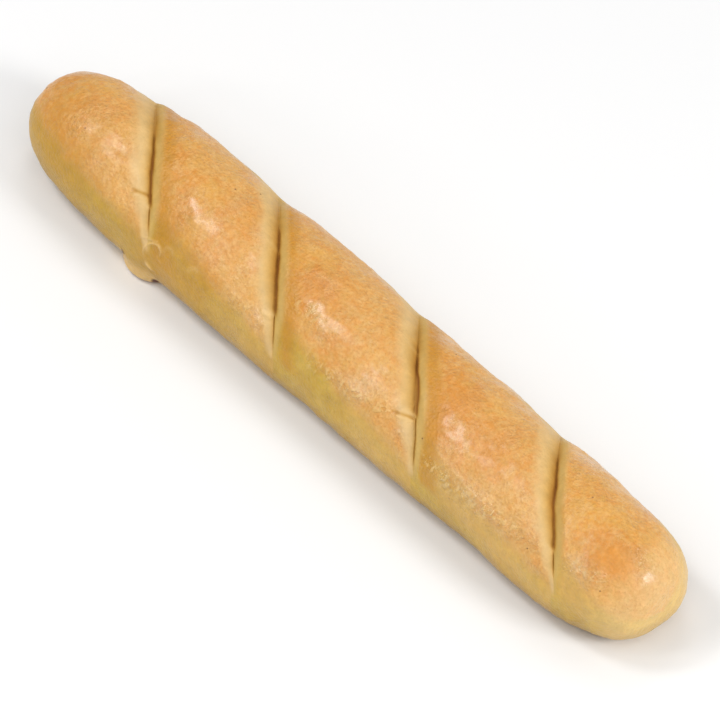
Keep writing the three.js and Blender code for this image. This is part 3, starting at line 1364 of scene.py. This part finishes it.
class SkinPatterns:
    """The masks and noises that the crust's colour, gloss and bump are made of.

    The sizes are the widths of the noises' lumps in millimetres.
    """

    cloud_size: float = 14.0
    mottle_size: float = 4.2
    patch_size: float = 2.6
    grain_size: float = 1.1
    pebble_size: float = 1.25
    wrinkle_size: float = 1.5
    ridge_size: float = 1.8

    def __init__(self, graph: Graph) -> None:
        """Adds their nodes, the masks in the order of Dress.

        Args:
            graph: The material's nodes.
        """
        self.graph = graph
        self.place = graph.place()
        (self.brown, self.cream, self.olive, self.amber, self.deep, self.bloom_and_sheen, self.flake_and_glint,
         self.crack, self.toast, self.pale, self.base, self.under, self.glaze,
         self.crag) = (graph.attribute(dress) for dress in Dress)
        self.clouds = graph.noise(self.place, self.cloud_size, 3.0, 0.55)
        self.mottle = graph.noise(self.place, self.mottle_size, 3.0, 0.6)
        self.patches = graph.noise(self.place, self.patch_size, 3.0, 0.6)
        self.grain = graph.noise(self.place, self.grain_size, 3.0, 0.6)
        self.pebbles = graph.cells(self.place, self.pebble_size)
        creased = graph.place((1.0, 0.32, 0.45), math.radians(20))
        self.wrinkles = graph.noise(creased, self.wrinkle_size, 2.0, 0.55)
        craggy = graph.place((1.0, 0.6, 0.6), math.radians(35))
        self.ridges = graph.noise(craggy, self.ridge_size)
        self.cut = graph.maths("MAXIMUM", self.cream, self.olive)


@dataclass(frozen=True)
class CrustFinish:
    """The crust from the oven: golden brown on top, paler on the flank, pale dough in the cuts."""

    golden: Triple = paint(231, 170, 76)
    toasted: Triple = paint(221, 145, 52)
    flank: Triple = paint(214, 176, 66)
    flank_olive: Triple = paint(201, 159, 46)
    flank_deep: Triple = paint(191, 150, 44)
    cream: Triple = paint(231, 194, 131)
    # The cut dough of the cream faces, painted darker as shade for the steep faces.
    olive: Triple = paint(212, 174, 94)
    amber: Triple = paint(202, 139, 10)
    # Pale tone of thin lifted skin, also the colour of painted glints.
    flake_and_glint: Triple = paint(240, 200, 128)
    fleck: Triple = paint(204, 136, 56)
    # Pale tone of pale patches and of painted light, sheen and highlights.
    bloom_and_sheen: Triple = paint(238, 187, 112)
    base: Triple = paint(156, 116, 28)
    # The cracks' darker crust and painted shade, by channel, raised to the crack mask's power.
    torn_and_shade: Triple = (0.37, 0.2, 0.022)
    burnt: Triple = paint(88, 40, 24)
    pale_end: Triple = paint(242, 206, 144)
    underside: Triple = paint(186, 128, 66)
    pore: Triple = paint(130, 70, 24)
    grain_height: float = 3.4e-4
    wrinkle_height: float = 1.0e-4
    pebble_depth: float = 3.2e-4
    pore_depth: float = 3.0e-4
    crag_height: float = 3.4e-4
    dry: float = 0.41
    glazed: float = 0.27
    wet_crags: float = 0.14
    floury_cuts: float = 0.16
    mottled: float = 0.2
    dull: float = 0.3
    coat_roughness: float = 0.26
    burns: tuple[Spot, ...] = spots(
        (-109, -29.9, 10.8, 2, 0.9), (-93, -25.6, 2.7, 2.4), (-181, -5.8, 33.2, 0.9, 0.8),
    )
    pores: tuple[Spot, ...] = spots(
        (-138.35, -2.6, 45.06, 0.5), (-148.58, -13.66, 41.78, 0.45), (-156.03, -12.37, 41.15, 0.6),
        (-79.77, 6.74, 46.69, 0.5), (-73.05, 14.38, 43.3, 0.6), (43.25, 16.21, 42.87, 0.55),
        (138.64, 3.52, 47.1, 0.55), (132.12, -26.35, 33.09, 0.5), (136.58, -24.36, 35.4, 0.5),
        (169.12, -20.46, 34.32, 0.5), (88.09, -29.13, 27.59, 0.5), (63.88, -21.36, 38.03, 0.45),
    )

    def make(self) -> bpy.types.Material:
        """Builds the material.

        Returns:
            The material, whose colour, roughness, glaze and bump vary over the crust.
        """
        graph = Graph("baked_crust")
        on = SkinPatterns(graph)
        pores = graph.dots(on.place, self.pores)
        colour = self.shade_cracks(on, self.tones_and_painted_light(on, self.baked_and_lit(on)))
        colour = graph.blend(pores * 0.75, colour, self.pore)
        rough = self.dry - self.glazed * on.glaze - self.wet_crags * on.crag
        rough = rough + self.floury_cuts * on.cut + self.mottled * (on.mottle - 0.5)
        rough = rough + self.dull * on.under + self.dull * on.crack
        wet = on.glaze * (0.35 + 1.0 * on.brown)
        bump = {"Strength": 1.0, "Distance": 1.0, "Height": self.height(on, pores)}
        return graph.finish({
            "Base Color": graph.blend(graph.dots(on.place, self.burns), colour, self.burnt),
            "Roughness": rough.held(),
            "Coat Weight": (wet * (1 - on.crack) * (1 - on.under) * (1 - 0.6 * on.pale)).held(),
            "Coat Roughness": self.coat_roughness,
            "Normal": graph.wire("ShaderNodeBump", {}, bump),
        })

    def baked_and_lit(self, on: SkinPatterns) -> Wire:
        """Colours the browned top and the paler flank, with painted light and sheen.

        Args:
            on: The crust's masks and noises.

        Returns:
            The colour of the whole skin.
        """
        graph = on.graph
        toasted = graph.step(on.mottle + on.clouds, 0.82, 1.14) * 0.85 + on.toast * 0.8
        top = graph.blend(toasted.held(), self.golden, self.toasted)
        patchy = graph.step(on.patches, 0.36, 0.7) * 0.6 * (1 - 0.7 * on.toast)
        # Random pale patches, and painted light and sheen.
        top = graph.blend((patchy + on.bloom_and_sheen * 0.4).held(), top, self.bloom_and_sheen)
        olive = graph.step(on.clouds + 0.5 * on.patches, 0.55, 0.95)
        side = graph.blend(olive, self.flank, self.flank_olive)
        side = graph.blend(on.deep * 0.6, side, self.flank_deep)
        # Painted light and sheen on the flank, less towards -X.
        side = graph.blend(on.bloom_and_sheen * (0.5 - 0.5 * on.deep), side, self.bloom_and_sheen)
        return graph.blend(on.brown, side, top)

    def tones_and_painted_light(self, on: SkinPatterns, colour: Wire) -> Wire:
        """Lays the tones of single places over the skin, with painted shade on the steep cut faces
        and painted glints on the bumps, folds and crags.

        Args:
            on: The crust's masks and noises.
            colour: The skin's colour.

        Returns:
            The colour with its tones.
        """
        graph = on.graph
        seams = graph.step(on.pebbles, 0.36, 0.62) * 0.18 * on.brown * (1 - on.pale)
        flecks = graph.step(on.grain, 0.5, 0.66) * (0.18 + 0.2 * on.brown) * (1 - 0.4 * on.pale)
        for share, tone in (
            (on.amber * 0.72, self.amber),
            (on.pale * 0.8, self.pale_end),
            (on.base * 0.8, self.base),
            ((flecks + seams).held(), self.fleck),
            # Painted glints on the crag ridges; a darker fleck colour towards their hollows.
            (on.crag * graph.step(on.ridges, 0.52, 0.6) * 0.7, self.flake_and_glint),
            (on.crag * (1 - graph.step(on.ridges, 0.4, 0.48)) * 0.3, self.fleck),
            (on.cream * 0.9, self.cream),
            # Painted shade: the steep cut faces take a darker copy of the cut dough.
            (on.olive * 0.9, self.olive),
            # Thin pale skin, painted glints and painted light.
            (on.flake_and_glint * 0.85, self.flake_and_glint),
            (on.under * 0.8, self.underside),
        ):
            colour = graph.blend(share, colour, tone)
        return colour

    def shade_cracks(self, on: SkinPatterns, colour: Wire) -> Wire:
        """Paints shade into the cracks, the creases and the gap under the foot, and varies the
        whole crust a little.

        Args:
            on: The crust's masks and noises.
            colour: The colour so far.

        Returns:
            The darkened colour.
        """
        graph = on.graph
        shade = 0.775 + 0.38 * on.mottle
        # Painted shade in the cracks, the creases and the foot's gap, times a random tone.
        tones = {channel: shade * graph.maths("POWER", deepest, on.crack)
                 for channel, deepest in enumerate(self.torn_and_shade)}
        tone = graph.wire("ShaderNodeCombineColor", {"mode": "RGB"}, tones)
        return graph.blend(1.0, colour, tone, "MULTIPLY")

    def height(self, on: SkinPatterns, pores: Wire) -> Wire:
        """Raises the grain, the wrinkles and the crags, and sinks the pores.

        Args:
            on: The crust's masks and noises.
            pores: Where the pores are.

        Returns:
            Metres for the bump.
        """
        fine = on.grain * self.grain_height + on.wrinkles * self.wrinkle_height * on.brown
        fine = (fine - on.pebbles * self.pebble_depth) * (1 - 0.55 * on.cut)
        fine = fine * (1.05 + 1.4 * on.glaze) - pores * self.pore_depth
        return fine + on.crag * on.graph.step(on.ridges, 0.44, 0.6) * self.crag_height


@dataclass
class Loaf:
    """The whole loaf: its crust and the finish on it."""

    crust: Crust
    finish: CrustFinish

    def build(self) -> list[bpy.types.Object]:
        """Makes the crust in place of the plain solid, and dresses it.

        Returns:
            The loaf's pieces.
        """
        piece = self.crust.build()
        piece.data.materials.append(self.finish.make())
        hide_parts("loaf")
        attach(piece, "root")
        return [piece]


@dataclass(frozen=True)
class Softbox:
    """A square area light that hangs in a direction seen from the camera."""

    name: str
    right: float
    up: float
    towards: float
    size: float
    power: float


@dataclass(frozen=True)
class Studio:
    """The camera, the soft lights and the pale floor, in metres."""

    elevation: float = math.radians(50.0)
    foreshortening: float = 0.839
    waist: float = 19.95 * MM
    distance: float = 12.0
    furthest: float = 20.0
    frame_width: float = 0.29304
    sensor: float = 36.0
    centre_right: float = 2.035 * MM
    centre_down: float = 3.7037 * MM
    world: float = 0.37
    floor_half: float = 4.0
    floor_grey: float = 0.93
    floor_roughness: float = 0.9
    softbox_distance: float = 1.6
    softboxes: tuple[Softbox, ...] = (
        Softbox("key_softbox", -0.50, 0.68, 0.53, 0.4, 6.7),
        Softbox("left_softbox", -0.66, 0.30, 0.69, 0.4, 1.6),
        Softbox("side_softbox", -0.88, 0.12, 0.46, 0.2, 1.3),
        Softbox("glint_light", -0.52, 0.43, 0.74, 0.27, 1.2),
        Softbox("low_glint_light", -0.66, 0.04, 0.72, 0.14, 0.7),
        Softbox("right_softbox", 0.70, -0.04, 0.71, 0.45, 10.4),
        Softbox("back_right_softbox", 0.90, 0.39, 0.18, 0.6, 1.4),
        Softbox("back_softbox", 0.08, 0.94, 0.33, 0.6, 2.4),
        Softbox("front_softbox", 0.14, 0.05, 0.98, 0.8, 3.2),
    )

    def axes(self) -> tuple[Vector, Vector, Vector]:
        """Works out the camera's directions.

        Returns:
            To the right, up, and back towards the camera.
        """
        turn = math.atan(self.foreshortening / math.sin(self.elevation))
        level = math.cos(self.elevation)
        back = Vector((math.sin(turn) * level, -math.cos(turn) * level, math.sin(self.elevation)))
        right = Vector((math.cos(turn), math.sin(turn), 0.0))
        return right, back.cross(right), back

    def build(self) -> None:
        """Sets up the camera, the lights, the surroundings and the floor."""
        right, up, back = self.axes()
        target = Vector((0.0, 0.0, self.waist)) + right * self.centre_right - up * self.centre_down
        self.add_camera(target, back)
        for box in self.softboxes:
            toward = (right * box.right + up * box.up + back * box.towards).normalized()
            self.add_softbox(box, target, toward)
        self.add_world()
        self.add_floor()

    def add_camera(self, target: Vector, back: Vector) -> None:
        """Adds the camera, far off with a long lens.

        Args:
            target: What it looks at.
            back: The direction from there to the camera.
        """
        data = bpy.data.cameras.new("camera")
        data.sensor_width = self.sensor
        data.lens = self.sensor * self.distance / self.frame_width
        data.clip_end = self.furthest
        bpy.context.scene.camera = self.aimed(data, target, back, self.distance)

    def add_softbox(self, box: Softbox, target: Vector, toward: Vector) -> None:
        """Adds one softbox.

        Args:
            box: Its size and power.
            target: What it faces.
            toward: The direction from there to the softbox.
        """
        data = bpy.data.lights.new(box.name, "AREA")
        data.shape = "SQUARE"
        data.size = box.size
        data.energy = box.power
        self.aimed(data, target, toward, self.softbox_distance)

    def aimed(self, data: bpy.types.ID, target: Vector, toward: Vector,
              distance: float) -> bpy.types.Object:
        """Adds a camera or a light that looks at a target.

        Args:
            data: The camera or light.
            target: What it looks at.
            toward: The direction from there to it.
            distance: How far off it is.

        Returns:
            The object.
        """
        made = add_object(data)
        made.location = target + toward * distance
        made.rotation_euler = toward.to_track_quat("Z", "Y").to_euler()
        return made

    def add_world(self) -> None:
        """Adds the even pale light all round."""
        scene = bpy.context.scene
        scene.world = bpy.data.worlds.new("surroundings")
        scene.world.use_nodes = True
        background = scene.world.node_tree.nodes["Background"]
        background.inputs["Color"].default_value = (1.0, 1.0, 1.0, 1.0)
        background.inputs["Strength"].default_value = self.world
        scene.view_settings.view_transform = "Standard"

    def add_floor(self) -> None:
        """Adds the plain pale floor."""
        plane = bmesh.new()
        bmesh.ops.create_grid(plane, x_segments=1, y_segments=1, size=self.floor_half)
        mesh = bpy.data.meshes.new("floor")
        plane.to_mesh(mesh)
        plane.free()
        grey = (self.floor_grey,) * 3
        finish = {"Base Color": opaque(grey), "Roughness": self.floor_roughness}
        mesh.materials.append(Graph("pale_floor").finish(finish))
        add_object(mesh)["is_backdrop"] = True


def write_sizes() -> None:
    """Works out the solid's box and the dressed model's box as plain lists of metres."""
    boxes = {"cad": CAD_BOX, "visual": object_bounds()}
    boxes = {name: [list(corner) for corner in box] for name, box in boxes.items()}


def main() -> None:
    """Builds the loaf and the studio, and reports each piece."""
    logging.basicConfig(level=logging.INFO, format="%(name)s: %(message)s")
    loaf = Loaf(Crust(), CrustFinish())
    for piece in loaf.build():
        triangles = sum(len(face.vertices) - 2 for face in piece.data.polygons)
        LOG.info("%s: %d triangles", piece.name, triangles)
    Studio().build()
    write_sizes()


if __name__ == "__main__":
    main()
